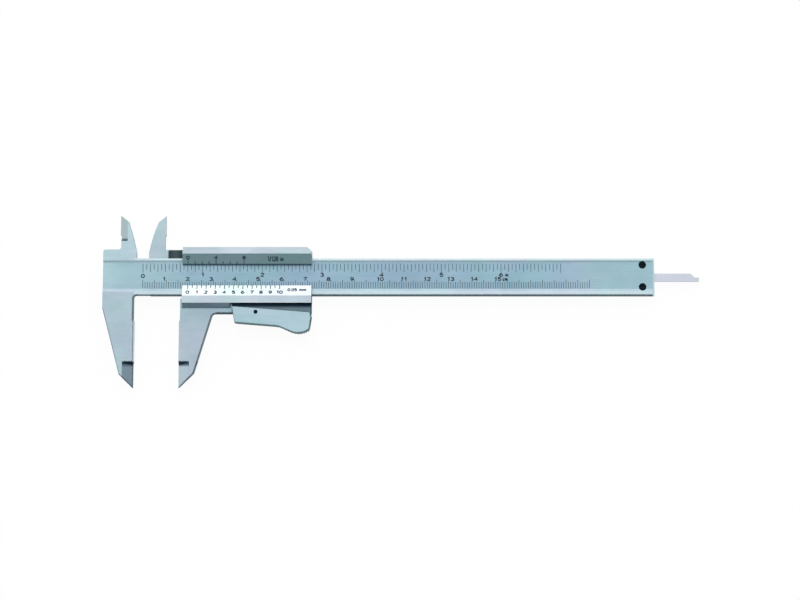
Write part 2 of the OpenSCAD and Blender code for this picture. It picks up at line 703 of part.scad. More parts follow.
module lever_nose() {
    top_y = brake_low_y - pin_y - brake_touch - nose_r;
    z0 = lever_z0 + lever_wall / 2;
    z1 = lever_z1 - lever_wall / 2;
    intersection() {
        union() {
            block([-brake_arm - nose_w / 2, lever_bottom(-brake_arm) + lever_wall / 2, z0],
                [-brake_arm + nose_w / 2, top_y, z1]);
            rod_up(-brake_arm, top_y, z0, z1, nose_r);
        }
        translate([0, 0, z0 - over]) linear_extrude(z1 - z0 + 2 * over) lever_outline(0, 0);
    }
}
module lock_lever() {
    color("lightblue") on_slider() translate([pin_x, pin_y, 0]) difference() {
        union() {
            lever_channel();
            lever_nose();
        }
        rod_up(0, 0, lever_z0 - over, lever_z1 + over, pin_r + pin_gap);
    }
}
module lever_pin() { color("dimgray") on_slider() rod_up(pin_x, pin_y, lever_z0, lever_z1, pin_r); }

// Spring that pushes the thumb pad away from the web, as one unbroken coil of wire
function spring_low() = pin_y + lever_bottom(spring_arm) + lever_wall + spring_seat;
function spring_high() = arm_y + spring_bore_d - spring_seat;
function spring_point(i, j) =
    let (a = 360 * i / spring_rings, b = 360 * j / spring_sides,
        r = spring_r - wire_r + wire_r * cos(b),
        rise = (spring_high() - spring_low() - 2 * wire_r) / (spring_curls * spring_rings))
    [spring_x + r * cos(a), spring_low() + wire_r + rise * i + wire_r * sin(b), split_z + r * sin(a)];
module lever_spring() {
    n = spring_curls * spring_rings;
    s = spring_sides;
    points = [for (i = [0:n]) for (j = [0:s - 1]) spring_point(i, j)];
    sides = [for (i = [0:n - 1]) for (j = [0:s - 1]) let (a = i * s + j, b = i * s + (j + 1) % s)
        each [[a, b, a + s], [b, b + s, a + s]]];
    caps = [for (j = [1:s - 2]) each [[0, j + 1, j], [n * s, n * s + j, n * s + j + 1]]];
    color("gray") on_slider() polyhedron(points, concat(sides, caps));
}

// Brake pin that the lever's nose presses against the beam's lower edge
module brake_pin() {
    color("goldenrod") on_slider()
        rod_along_y(brake_x, split_z, brake_low_y, -beam_edge - brake_touch, brake_r);
}

beam();
end_stop_plate();
end_stop_screw_upper();
end_stop_screw_lower();
slider_body();
gib_strip();
gib_screw_near();
gib_screw_far();
rod_cover_plate();
cover_screw_1();
cover_screw_2();
cover_screw_3();
cover_screw_4();
depth_rod();
rod_rivet_near();
rod_rivet_far();
lock_lever();
lever_pin();
lever_spring();
brake_pin();
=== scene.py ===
"""Finish of a 150 mm pocket caliper with a thumb lever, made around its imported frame.

The frame's own solids keep their shapes and get their metals here. The graduations, the numerals
and the lever's spring are made as pieces of their own. Every object is in metres, in the frame.
"""
import json
import math

import bmesh
import bpy
from bpy.props import FloatProperty, FloatVectorProperty, IntProperty, PointerProperty
from mathutils import Matrix, Vector


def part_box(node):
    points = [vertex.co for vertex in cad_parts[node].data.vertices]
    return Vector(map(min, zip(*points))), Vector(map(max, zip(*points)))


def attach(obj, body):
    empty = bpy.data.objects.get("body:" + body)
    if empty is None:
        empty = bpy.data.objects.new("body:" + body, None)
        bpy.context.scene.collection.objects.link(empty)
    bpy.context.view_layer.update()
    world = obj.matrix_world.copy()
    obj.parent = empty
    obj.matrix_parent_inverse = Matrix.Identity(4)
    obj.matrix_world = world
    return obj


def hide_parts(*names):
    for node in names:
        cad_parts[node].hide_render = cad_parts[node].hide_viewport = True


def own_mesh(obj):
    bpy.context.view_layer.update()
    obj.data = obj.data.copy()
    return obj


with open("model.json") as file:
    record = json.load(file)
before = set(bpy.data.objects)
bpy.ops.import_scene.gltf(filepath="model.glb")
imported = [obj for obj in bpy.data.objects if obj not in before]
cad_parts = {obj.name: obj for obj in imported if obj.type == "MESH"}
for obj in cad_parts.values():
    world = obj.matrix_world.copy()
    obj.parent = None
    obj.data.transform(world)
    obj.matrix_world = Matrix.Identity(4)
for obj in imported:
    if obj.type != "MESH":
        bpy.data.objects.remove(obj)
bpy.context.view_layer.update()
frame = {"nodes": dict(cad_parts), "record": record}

bl_info = {
    "name": "Pocket caliper finish",
    "version": (1, 0, 0),
    "blender": (4, 5, 0),
    "location": "3D View > Sidebar > Caliper",
    "description": "Metals, graduations, spring and studio of a 150 mm pocket caliper",
    "category": "Object",
}

MM = 0.001
INCH = 25.4 * MM


def mount_at(name):
    """Place of one of the record's mounts."""
    return Vector(next(m["pos_m"] for m in frame["record"]["mounts"] if m["name"] == name))


def slot_colour(slot):
    """Base colour that the record gives to a material slot."""
    return next(tuple(m["base_color"]) for m in frame["record"]["materials"] if m["slot"] == slot)


# Zero planes of both scales, the beam's centre line, top and end, and the floor of its scale channel
BEAM_ZERO = mount_at("fixed_jaw_face").x
SLIDER_ZERO = mount_at("moving_jaw_face").x
CENTRE_Y = mount_at("rest_face").y
BEAM_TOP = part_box("beam")[1].z
BEAM_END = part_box("beam")[1].x
CHANNEL_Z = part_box("end_stop_screw_upper")[1].z


def nearest(node, side, picked):
    """Distance from the beam's centre line, towards a side, of the picked faces' nearest corner."""
    mesh = frame["nodes"][node].data
    faces = [p for p in mesh.polygons if picked(p)]
    return min(side * (mesh.vertices[i].co.y - CENTRE_Y) for p in faces for i in p.vertices)


def bevel_start(side):
    """Distance from the beam's centre line at which the fixed jaws' bevels start."""
    return nearest("beam", side, lambda p: p.normal.z > 0.9 and abs(p.normal.x) > 0.2
                   and side * (p.center.y - CENTRE_Y) > 12 * MM)


# Slider's top, foot of the inch vernier, corner of the recess under the lever, starts of the bevels,
# middle of the gib's tab, upper end of the lever's pin, and how far from the centre line the jaws begin
SLIDER_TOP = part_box("slider_body")[1].z
FOOT_Y = CENTRE_Y + nearest("slider_body", 1, lambda p: 0.8 < p.normal.z < 0.97 and p.normal.y < -0.2
                            and p.center.y > CENTRE_Y)
RECESS_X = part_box("lock_lever")[0].x
RECESS_Y = CENTRE_Y + nearest("slider_body", 1, lambda p: p.normal.z > 0.99 and p.center.y < CENTRE_Y
                              and p.center.z > SLIDER_TOP - 0.1 * MM)
KNIFE_START = bevel_start(-1)
INSIDE_START = bevel_start(1)
TAB_HALF = 2.9 * MM
TAB_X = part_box("gib_strip")[0].x + TAB_HALF
PIN_LOW, PIN_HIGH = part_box("lever_pin")
PIN_TOP = Vector(((PIN_LOW.x + PIN_HIGH.x) / 2, (PIN_LOW.y + PIN_HIGH.y) / 2, PIN_HIGH.z))
JAWS_Y = 9 * MM


def colour_prop(name, description, default):
    """A colour setting."""
    return FloatVectorProperty(name=name, description=description, default=default,
                               subtype="COLOR", min=0, max=1)


def length_prop(name, description, default, least=0.01 * MM):
    """A length setting."""
    return number_prop(name, description, default, unit="LENGTH", min=least)


def number_prop(name, description, default, **limits):
    """A number setting."""
    return FloatProperty(name=name, description=description, default=default, **limits)


class MetalSettings(bpy.types.PropertyGroup):
    """Colours and surface of the metals, with tints of painted shade, shadow and highlight"""
    beam: colour_prop("Beam steel", "Colour of the beam and the fixed jaws", (0.62, 0.74, 0.785))
    slider: colour_prop("Slider steel", "Colour of the slider and the moving jaws", (0.72, 0.81, 0.82))
    # Painted highlight: darkens all of the slider but the millimetre vernier, which faces the light and
    # stays lighter
    slider_tint: colour_prop(
        "Slider tint", "Tint of the slider beside its millimetre vernier", (0.79, 0.83, 0.866))
    lever: colour_prop("Lever steel", "Colour of the thumb lever", (0.475, 0.635, 0.68))
    rod: colour_prop("Rod steel", "Colour of the depth rod and its rivets", slot_colour("rod_steel"))
    plate: colour_prop(
        "Plate steel", "Colour of both plates and the plain screws", slot_colour("plate_steel"))
    black: colour_prop(
        "Black oxide", "Colour of the gib strip and its set screws", (0.01, 0.022, 0.028))
    # Also lightens the middle of the gib's tab as a painted sheen
    rubbed: colour_prop("Rubbed black", "Colour where the black is rubbed thin", (0.12, 0.2, 0.22))
    pin_black: colour_prop(
        "Pin black", "Colour of the stop screws and the lever's pin", (0.003, 0.009, 0.012))
    brass: colour_prop("Brass", "Colour of the brake pin", slot_colour("brake_brass"))
    roughness: number_prop(
        "Steel roughness", "Roughness of the satin steel", 0.66, min=0, max=1, subtype="FACTOR")
    grain_length: length_prop("Grain length", "Length of the grinding marks", 5 * MM, 0.1 * MM)
    grain_width: length_prop("Grain width", "Width of the grinding marks", 0.09 * MM)
    edge_round: length_prop("Edge rounding", "Radius of the light on every edge", 0.14 * MM, 0)
    # Painted shade on the upright sides and the lower chamfers
    side_tint: colour_prop(
        "Side tint", "Tint of the unpolished sides and chamfers", (0.28, 0.32, 0.34))
    # Painted shade in a strip along the edges that face -Y, and less along +X ones
    edge_tint: colour_prop(
        "Edge tint", "Tint along the near and far edges of the fronts under the beam", (0.1, 0.13, 0.15))
    edge_reach: length_prop("Edge reach", "Width of the darker strip along these edges", 0.8 * MM, 0)
    # Painted shade on the fixed outside jaw's bevel, which leans away from the light
    fixed_knife_tint: colour_prop(
        "Fixed knife tint", "Tint of the bevel of the fixed outside jaw", (0.39, 0.43, 0.485))
    # Slight painted shade on the moving outside jaw's bevel
    moving_knife_tint: colour_prop(
        "Moving knife tint", "Tint of the bevel of the moving outside jaw", (0.87, 0.935, 0.94))
    inside_tint: colour_prop(
        "Inside bevel tint", "Tint of the bevel of the fixed inside jaw", (0.76, 0.75, 0.75))
    # Painted shade on the slope under the lower ridge, which faces away from the light
    apron_tint: colour_prop("Apron tint", "Tint of the slope under the lower ridge", (0.7, 0.74, 0.78))
    # Painted shadow under the step where the grinding wheel left the bevels
    runout_tint: colour_prop(
        "Run-out tint", "Tint where the grinding wheel left the bevels", (0.14, 0.2, 0.25))
    # Painted shade that tones down the light on the slope up to the lower rail
    ramp_tint: colour_prop(
        "Ramp tint", "Tint of the slope from the scale channel to its lower rail", (0.72, 0.73, 0.77))
    # Painted shadow of the lower ridge on the slider's front under it
    web_tint: colour_prop(
        "Web tint", "Further tint of the slider's front under its lower ridge", (0.88, 0.95, 0.95))
    jaw_tint: colour_prop(
        "Jaw tint", "Tint of the jaws and the slider's arm beside the beam", (0.86, 0.88, 0.91))
    fixed_jaw_tint: colour_prop(
        "Fixed jaw tint", "Further tint of the fixed outside jaw's front", (0.92, 0.925, 0.93))
    # Painted reflection: the scale channel darker and bluer in its middle than at its ends
    middle_tint: colour_prop(
        "Middle tint", "Further tint of the scale channel away from its ends", (0.86, 0.905, 0.95))
    # Painted shadow along the foot of the inch vernier
    foot_tint: colour_prop("Foot tint", "Tint along the foot of the inch vernier", (0.22, 0.32, 0.38))
    # Painted shadow where the lever covers the slider
    recess_tint: colour_prop(
        "Recess tint", "Tint of the slider where the lever covers it", (0.06, 0.098, 0.141))
    channel_tint: colour_prop(
        "Channel tint", "Tint of the matt floor of the scale channel", (0.65, 0.755, 0.8))
    # Painted shade that tones down the light on the slope above the upper ridge
    crown_tint: colour_prop("Crown tint", "Tint of the slope above the upper ridge", (0.79, 0.79, 0.805))
    # Painted shade on the inch vernier's face, which leans away from the light
    upper_tint: colour_prop(
        "Upper vernier tint", "Tint of the matt face of the inch vernier", (0.545, 0.665, 0.665))


class ScaleSettings(bpy.types.PropertyGroup):
    """Sizes of the graduations, measured in the face that carries them"""
    ink: colour_prop("Engraving", "Colour in the engraved lines", (0.012, 0.03, 0.045))
    zero: length_prop(
        "Zero offset", "Distance of both zero lines behind their measuring faces", 3.6 * MM, -1)
    beam_line: length_prop("Beam line width", "Width of the lines on the beam", 0.22 * MM)
    vernier_line: length_prop("Vernier line width", "Width of the lines on the slider", 0.34 * MM)
    figure_line: length_prop(
        "Figure line width", "Width of the strokes of figures and letters", 0.46 * MM)
    beam_figure: length_prop("Beam figures", "Height of the figures on the beam", 1.35 * MM, 0.1 * MM)
    vernier_figure: length_prop(
        "Vernier figures", "Height of the figures on the slider", 1.2 * MM, 0.1 * MM)
    figure_stretch: number_prop("Figure stretch", "Widening of the figures", 1.85, min=0.5, max=3)
    inch_word: length_prop("Inch word", "Height of the word on the inch vernier", 1.85 * MM, 0.1 * MM)
    mm_word: length_prop(
        "Millimetre word", "Height of the word on the millimetre vernier", 1.15 * MM, 0.1 * MM)
    word_line: length_prop(
        "Word line width", "Width of the strokes of both words on the slider", 0.43 * MM)
    lift: length_prop("Lift", "Height of the lines over the face that carries them", 0.012 * MM, 0)
    inches: IntProperty(
        name="Inches", description="Length of the inch scale in inches", min=1, default=7)
    millimetres: IntProperty(
        name="Millimetres", description="Length of the millimetre scale in millimetres",
        min=10, default=190)


class SpringSettings(bpy.types.PropertyGroup):
    """Sizes of the lever's spring"""
    turns: number_prop("Turns", "Number of turns of the spring", 7, min=2.5)
    wire: length_prop("Wire", "Diameter of the spring's wire", 0.34 * MM, 0.05 * MM)


class StudioSettings(bpy.types.PropertyGroup):
    """Camera, floor and light"""
    lens: number_prop("Lens", "Focal length in millimetres on a 36 mm wide sensor", 67.5, min=10)
    tilt: number_prop(
        "Camera elevation", "Angle of the camera over the horizon", math.radians(84), subtype="ANGLE")
    distance: length_prop("Camera distance", "Distance from the camera to the beam", 636.8 * MM, 0.1)
    aim_x: length_prop(
        "Aim along the beam", "Where the camera looks, from the fixed jaw's measuring face",
        113.0 * MM, -1)
    aim_y: length_prop(
        "Aim across the beam", "Where the camera looks, from the beam's centre line", -9.85 * MM, -1)
    floor: colour_prop("Floor", "Colour of the floor", (0.97, 0.975, 0.98))
    bright_side: number_prop("Bright side", "Strength of the studio's far, bright side", 1.3, min=0)
    dark_side: number_prop("Dark side", "Strength of the studio's near, dark side", 0.2, min=0)
    fill_tint: colour_prop("Dark side tint", "Colour of the studio's near, dark side", (0.45, 0.8, 1.0))
    lamp: number_prop("Key lamp", "Power of the key lamp in watts", 16, min=0)
    paper_glow: number_prop(
        "Paper share", "Share of plain white paper in the floor that is seen",
        0.94, min=0, max=1, subtype="FACTOR")


def fill(tree, node, inputs):
    """Sets or links inputs of a node."""
    for key, value in inputs.items():
        if isinstance(value, bpy.types.NodeSocket):
            tree.links.new(value, node.inputs[key])
        else:
            node.inputs[key].default_value = value


def add_node(tree, kind, inputs=None, **values):
    """Adds a shader node with its values and inputs."""
    made = tree.nodes.new(kind)
    for name, value in values.items():
        setattr(made, name, value)
    fill(tree, made, inputs or {})
    return made


def new_material(name):
    """An empty node material, its Principled shader, and the place in the object."""
    material = bpy.data.materials.new(name)
    material.use_nodes = True
    tree = material.node_tree
    tree.nodes.clear()
    shader = add_node(tree, "ShaderNodeBsdfPrincipled")
    add_node(tree, "ShaderNodeOutputMaterial", {"Surface": shader.outputs["BSDF"]})
    return material, tree, shader, add_node(tree, "ShaderNodeTexCoord").outputs["Object"]


def noise(tree, coordinates, size, detail=2.0, turn=0.0):
    """Noise whose patches have the given size along X, Y and Z, turned about Z."""
    placed = add_node(tree, "ShaderNodeMapping", {
        "Vector": coordinates, "Rotation": (0, 0, turn), "Scale": [1 / s for s in size]})
    texture = add_node(tree, "ShaderNodeTexNoise", {
        "Vector": placed.outputs["Vector"], "Scale": 1.0, "Detail": detail, "Roughness": 0.55})
    return texture.outputs["Fac"]


def remap(tree, value, low, high, out_low=0.0, out_high=1.0):
    """Maps a value from one range to another, held at both ends."""
    mapped = add_node(tree, "ShaderNodeMapRange", {
        "Value": value, "From Min": low, "From Max": high, "To Min": out_low, "To Max": out_high})
    return mapped.outputs["Result"]


def math_node(tree, operation, a, b):
    """Result of one sum of two values."""
    return add_node(tree, "ShaderNodeMath", {0: a, 1: b}, operation=operation).outputs["Value"]


def vector_node(tree, operation, a, b):
    """Node for one sum of two vectors."""
    return add_node(tree, "ShaderNodeVectorMath", {0: a, 1: b}, operation=operation)


def mix_colour(tree, factor, a, b, blend="MIX"):
    """Colour between a and b, or a multiplied by b."""
    mixed = add_node(tree, "ShaderNodeMix", data_type="RGBA", blend_type=blend)
    for socket, value in (("Factor_Float", factor), ("A_Color", a), ("B_Color", b)):
        target = next(s for s in mixed.inputs if s.identifier == socket)
        if isinstance(value, bpy.types.NodeSocket):
            tree.links.new(value, target)
        else:
            target.default_value = value if isinstance(value, float) else (*value, 1.0)
    return next(s for s in mixed.outputs if s.identifier == "Result_Color")


def shade(colour, share):
    """The colour made darker or brighter."""
    return tuple(min(1.0, c * share) for c in colour)


def fill_shader(tree, shader, metallic, colour, roughness, height, depth, strength, normal=None):
    """Gives a shader its colour and roughness, and marks as deep as the height says."""
    bump = add_node(tree, "ShaderNodeBump", {"Strength": strength, "Distance": depth, "Height": height})
    if normal:
        fill(tree, bump, {"Normal": normal})
    fill(tree, shader, {"Base Color": colour, "Roughness": roughness, "Metallic": metallic,
                        "Normal": bump.outputs["Normal"]})


def bevel_normal(tree, radius):
    """Normal that rounds the edges."""
    return add_node(tree, "ShaderNodeBevel", {"Radius": radius}, samples=6).outputs["Normal"]


def rounded_normal(tree, radius):
    """Normal that rounds the edges, and a mask that is 1 on them."""
    bevel = bevel_normal(tree, radius)
    flat = add_node(tree, "ShaderNodeNewGeometry").outputs["True Normal"]
    agree = vector_node(tree, "DOT_PRODUCT", bevel, flat).outputs["Value"]
    return bevel, remap(tree, agree, 0.97, 1.0, 1.0, 0.0)


def component(tree, vector, axis):
    """One part of a vector."""
    return add_node(tree, "ShaderNodeSeparateXYZ", {0: vector}).outputs[axis]


class Spot:
    """Where a point of a metal lies and which way it faces, for the masks of the tints."""

    def __init__(self, tree, place):
        self.tree = tree
        self.place = place
        self.facing = add_node(tree, "ShaderNodeNewGeometry").outputs["True Normal"]
        self.x, self.y, self.z = (component(tree, place, axis) for axis in "XYZ")
        self.lean_y, self.level = (component(tree, self.facing, axis) for axis in "YZ")
        self.across = self.math("SUBTRACT", self.y, CENTRE_Y)
        self.flat = self.rise(self.level, 0.97, 0.99)

    def math(self, operation, a, b=0.0):
        """Result of one sum."""
        return math_node(self.tree, operation, a, b)

    def rise(self, value, low, high):
        """0 up to the low value, and 1 from the high one."""
        return remap(self.tree, value, low, high)

    def fall(self, value, low, high, least=0.0):
        """1 up to the low value, and the least from the high one."""
        return remap(self.tree, value, low, high, 1.0, least)

    def both(self, *masks):
        """Product of several masks."""
        result = masks[0]
        for mask in masks[1:]:
            result = self.math("MULTIPLY", result, mask)
        return result

    def aside(self, side):
        """Distance from the beam's centre line towards one side."""
        return self.math("MULTIPLY", self.across, side)

    def beside_beam(self, start):
        """1 at more than the given distance from the beam's centre line."""
        return self.rise(self.math("ABSOLUTE", self.across), start, start + 0.8 * MM)

    def below(self, height):
        """1 under the given height."""
        return self.fall(self.z, height, height + 0.04 * MM)

    def dull(self):
        """1 but on the outside jaws' measuring faces and the beam's far end, which are bright."""
        faces = 0.0
        for zero in (BEAM_ZERO, SLIDER_ZERO):
            off = self.math("ABSOLUTE", self.math("SUBTRACT", self.x, zero))
            faces = self.math("MAXIMUM", faces, self.fall(off, 0.03 * MM, 0.06 * MM))
        end = self.rise(self.x, BEAM_END - 0.9 * MM, BEAM_END - 0.4 * MM)
        outside = self.rise(self.aside(-1), JAWS_Y, JAWS_Y + 0.2 * MM)
        return self.math("SUBTRACT", 1.0, self.math("MAXIMUM", end, self.both(faces, outside)))


def side_mask(spot):
    """Mask of painted shade: 1 on upright sides, on the lower chamfers and on the slopes that end the
    jaws' bevels.
    """
    level = spot.math("ABSOLUTE", spot.level)
    cut = spot.math("MAXIMUM", spot.fall(spot.lean_y, -0.1, 0.0), spot.beside_beam(JAWS_Y))
    chamfer = spot.both(spot.fall(level, 0.72, 0.78), cut, spot.below(BEAM_TOP + 0.02 * MM))
    sides = spot.math("MAXIMUM", spot.fall(level, 0.3, 0.4), chamfer)
    return spot.both(sides, spot.dull(), spot.fall(spot.across, JAWS_Y - MM, JAWS_Y, 0.45))


def edge_mask(reach):
    """Mask of painted shade: 1 on the fronts below the beam along edges that face -Y, and half along +X
    ones.
    """
    def mask(spot):
        tree = spot.tree
        lean = vector_node(tree, "SUBTRACT", bevel_normal(tree, reach), spot.facing).outputs["Vector"]
        near = spot.math("MULTIPLY", component(tree, lean, "Y"), -1.0)
        far = spot.math("MULTIPLY", component(tree, lean, "X"), 0.5)
        edge = spot.rise(spot.math("MAXIMUM", near, far), 0.03, 0.13)
        off = vector_node(tree, "DISTANCE", spot.place, PIN_TOP).outputs["Value"]
        clear_of_pin = spot.rise(off, 1.8 * MM, 2.0 * MM)
        return spot.both(edge, spot.rise(spot.level, 0.85, 0.9), spot.dull(), clear_of_pin,
                         spot.rise(spot.aside(-1), 7 * MM, 7.5 * MM), spot.below(PIN_TOP.z + 0.2 * MM))
    return mask


def bevel_mask(side, start):
    """Mask that is 1 on the bevels and their run-outs on one side of the beam, from the given start."""
    def mask(spot):
        beyond = spot.rise(spot.aside(side), start - 0.05 * MM, start)
        return spot.both(beyond, spot.fall(spot.level, 0.975, 0.985))
    return mask


def runout_mask(side, start, dark, faded):
    """Mask of a painted shadow: 1 where the bevels start, and fades along them from one length to the
    other.
    """
    def mask(spot):
        fading = spot.fall(spot.aside(side), start + dark, start + faded)
        return spot.both(fading, bevel_mask(side, start)(spot))
    return mask


def channel_mask(spot):
    """1 in the scale channel, up to its rails, and less on the head."""
    head = remap(spot.tree, spot.x, BEAM_ZERO - 13 * MM, BEAM_ZERO - 2 * MM, 0.75, 1.0)
    return spot.both(spot.below(BEAM_TOP - 0.06 * MM), spot.flat, head)


def middle_mask(spot):
    """1 in the scale channel but near its ends, for a painted reflection that leaves the channel darker
    in its middle.
    """
    return spot.both(channel_mask(spot), spot.rise(spot.x, BEAM_ZERO + 14 * MM, BEAM_ZERO + 24 * MM),
                     spot.fall(spot.x, BEAM_END - 40 * MM, BEAM_END - 28 * MM))


def ramp_mask(spot):
    """1 on the slope from the scale channel up to its lower rail, where painted shade tones down its
    light.
    """
    inside = spot.math("SUBTRACT", 1.0, spot.beside_beam(7 * MM))
    return spot.both(spot.rise(spot.lean_y, 0.15, 0.25), inside)


def jaw_mask(spot):
    """1 on the flat fronts beside the beam, and on the head's, that lie no higher than the rails."""
    head = spot.both(spot.fall(spot.x, BEAM_ZERO - 0.1 * MM, BEAM_ZERO), spot.beside_beam(5.8 * MM))
    beside = spot.math("MAXIMUM", spot.beside_beam(7.8 * MM), head)
    return spot.both(beside, spot.below(BEAM_TOP + 0.05 * MM), spot.flat)


def fixed_jaw_mask(spot):
    """1 on the front of the fixed outside jaw."""
    return spot.both(jaw_mask(spot), spot.rise(spot.aside(-1), 0.0, MM))


def web_mask(spot):
    """Mask of a painted shadow: 1 on the flat fronts just under the lower ridge, fading towards the
    jaw's tip.
    """
    under = spot.rise(spot.aside(-1), JAWS_Y, JAWS_Y + MM)
    fading = spot.fall(spot.aside(-1), 15 * MM, 24 * MM)
    return spot.both(spot.flat, under, fading, spot.below(BEAM_TOP + 0.05 * MM))


def recess_mask(spot):
    """Mask of a painted shadow: 1 where the lever covers the slider, and less away from the ridge."""
    past = spot.rise(spot.x, RECESS_X - 0.1 * MM, RECESS_X)
    depth = spot.math("SUBTRACT", RECESS_Y, spot.y)
    return spot.both(past, spot.rise(depth, 0.0, 0.1 * MM), spot.fall(depth, 1.2 * MM, 2.0 * MM, 0.6))


def slope_mask(side, lean):
    """Mask that is 1 on the slopes of one side of the beam that lean to +Y or -Y."""
    def mask(spot):
        leaning = spot.rise(spot.math("MULTIPLY", spot.lean_y, lean), 0.2, 0.3)
        return spot.both(spot.rise(spot.aside(side), 0.0, MM), leaning, spot.rise(spot.level, 0.5, 0.6))
    return mask


def foot_mask(spot):
    """Mask of a painted shadow: 1 along the edge of the inch vernier that lies on the beam."""
    near = spot.fall(spot.math("SUBTRACT", spot.y, FOOT_Y), 0.3 * MM, 0.6 * MM)
    return spot.both(near, slope_mask(1, -1)(spot))


def beside_vernier_mask(spot):
    """1 all over the slider but on the millimetre vernier, which is left lighter as a painted highlight.
    """
    return spot.math("SUBTRACT", 1.0, slope_mask(-1, 1)(spot))


def satin_steel(name, colour, metals, rougher=0.0, grain=(1, 1), turn=0.0, tints=()):
    """Ground and satin finished steel: fine grain, soft smudges, faint bluing and bright worn edges,
    with painted shade on its sides, its lower chamfers and along its edges that face -Y.

    Tints are pairs of a mask and the colour that multiplies the steel's own there; many of them paint
    shade, shadow or highlight onto faces by the way those faces lie to the light.
    """
    roughness = metals.roughness + rougher
    material, tree, shader, place = new_material(name)
    length, width = metals.grain_length * grain[0], metals.grain_width * grain[1]
    fine = noise(tree, place, (length, width, width), 4.0, turn)
    broad = noise(tree, place, (6 * length, 7 * width, 7 * width), 3.0, turn)
    smudge = noise(tree, place, (14 * MM, 9 * MM, 9 * MM), 3.0)
    cloud = noise(tree, place, (22 * MM, 14 * MM, 14 * MM), 1.5)
    speck = noise(tree, place, (0.35 * MM,) * 3, 2.0)
    normal, edge = rounded_normal(tree, metals.edge_round)

    teal = (colour[0] * 0.96, colour[1] * 1.01, colour[2] * 0.985)
    lilac = (colour[0] * 1.03, colour[1] * 0.985, colour[2] * 1.025)
    look = mix_colour(tree, remap(tree, cloud, 0.4, 0.6), teal, lilac)
    layers = ((fine, 0.25, 0.75, 0.14, 0.45), (broad, 0.35, 0.7, 0.1, 1.45),
              (speck, 0.72, 0.8, 0.25, 0.5))
    for pattern, low, high, share, brightness in layers:
        covered = remap(tree, pattern, low, high, 0.0, share)
        look = mix_colour(tree, covered, look, shade(colour, brightness))
    look = mix_colour(tree, math_node(tree, "MULTIPLY", edge, 0.3), look, shade(colour, 1.3))
    spot = Spot(tree, place)
    # Painted shade on the sides and along the edges that face -Y, on every satin steel
    common_painted_shade = [(side_mask, metals.side_tint), (edge_mask(metals.edge_reach), metals.edge_tint)]
    for mask, tint in (*common_painted_shade, *tints):
        look = mix_colour(tree, mask(spot), look, tint, "MULTIPLY")

    grained = math_node(tree, "ADD", remap(tree, fine, 0.2, 0.8, -0.05, 0.05), roughness)
    smudged = math_node(tree, "ADD", remap(tree, smudge, 0.3, 0.7, -0.05, 0.06), grained)
    polished = math_node(tree, "SUBTRACT", smudged, math_node(tree, "MULTIPLY", edge, 0.08))
    fill_shader(tree, shader, 1.0, look, polished, fine, 0.004 * MM, 0.35, normal)
    return material


def tab_mask(tree, place):
    """1 in the middle of the gib's tab, where a painted sheen lightens the black."""
    aside = math_node(tree, "SUBTRACT", component(tree, place, "X"), TAB_X)
    return remap(tree, math_node(tree, "ABSOLUTE", aside, 0.0), 0.2 * MM, 2.4 * MM, 1.0, 0.0)


def black_oxide(name, colour, metals, gloss=0.5):
    """Oil blackened steel: near black, half gloss, with grey rubbed edges and a painted sheen in the
    middle of the gib's tab.
    """
    material, tree, shader, place = new_material(name)
    mottle = noise(tree, place, (0.5 * MM,) * 3, 4.0)
    rub = noise(tree, place, (1.2 * MM, 0.8 * MM, 0.8 * MM), 3.0)
    normal, edge = rounded_normal(tree, metals.edge_round)
    clouds = remap(tree, mottle, 0.3, 0.7)
    body = mix_colour(tree, clouds, shade(colour, 0.7), shade(colour, 1.6))
    # Painted sheen: the middle of the gib's tab lightened towards the rubbed colour
    tab = math_node(tree, "MULTIPLY", tab_mask(tree, place), 0.2)
    body = mix_colour(tree, tab, body, metals.rubbed)
    rubbed = math_node(tree, "MULTIPLY", edge, remap(tree, rub, 0.4, 0.65, 0.05, 0.5))
    fill(tree, shader, {"Specular IOR Level": gloss})
    fill_shader(tree, shader, 0.35, mix_colour(tree, rubbed, body, metals.rubbed),
                remap(tree, mottle, 0.3, 0.7, 0.3, 0.46), mottle, 0.006 * MM, 0.3, normal)
    return material


def turned_brass(name, colour, metals):
    """Turned brass with fine rings and a dull film."""
    material, tree, shader, place = new_material(name)
    rings = noise(tree, place, (4 * MM, 0.08 * MM, 4 * MM), 2.0)
    film = noise(tree, place, (1.5 * MM,) * 3, 3.0)
    normal, edge = rounded_normal(tree, metals.edge_round)
    dull = mix_colour(tree, remap(tree, film, 0.35, 0.7, 0.0, 0.5), colour, shade(colour, 0.55))
    worn = mix_colour(tree, math_node(tree, "MULTIPLY", edge, 0.4), dull, shade(colour, 1.3))
    fill_shader(tree, shader, 1.0, worn, remap(tree, rings, 0.3, 0.7, 0.24, 0.4),
                rings, 0.004 * MM, 0.3, normal)
    return material


def engraving_ink(name, colour):
    """Dark filling of engraved lines, thin in places."""
    material, tree, shader, place = new_material(name)
    thin = noise(tree, place, (0.5 * MM,) * 3, 3.0)
    paler = tuple(min(1.0, c * 3 + 0.03) for c in colour)
    filled = mix_colour(tree, remap(tree, thin, 0.45, 0.75, 0.0, 0.8), colour, paler)
    roughness = remap(tree, thin, 0.3, 0.7, 0.45, 0.65)
    fill_shader(tree, shader, 0.0, filled, roughness, thin, 0.004 * MM, 0.2)
    return material


def dress(material, *nodes):
    """Gives the material to CAD nodes."""
    for name in nodes:
        mesh = frame["nodes"][name].data
        mesh.materials.clear()
        mesh.materials.append(material)


def new_piece(name, mesh, material, body):
    """An object for a mesh that rides on a body, with the given material."""
    mesh.materials.append(material)
    piece = bpy.data.objects.new(name, mesh)
    bpy.context.scene.collection.objects.link(piece)
    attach(piece, body)
    return piece


def face_frame(origin, up, normal):
    """Matrix that lays flat work on a face, with its X along the beam."""
    along = up.cross(normal)
    return Matrix.Translation(origin) @ Matrix((along, up, normal)).transposed().to_4x4()


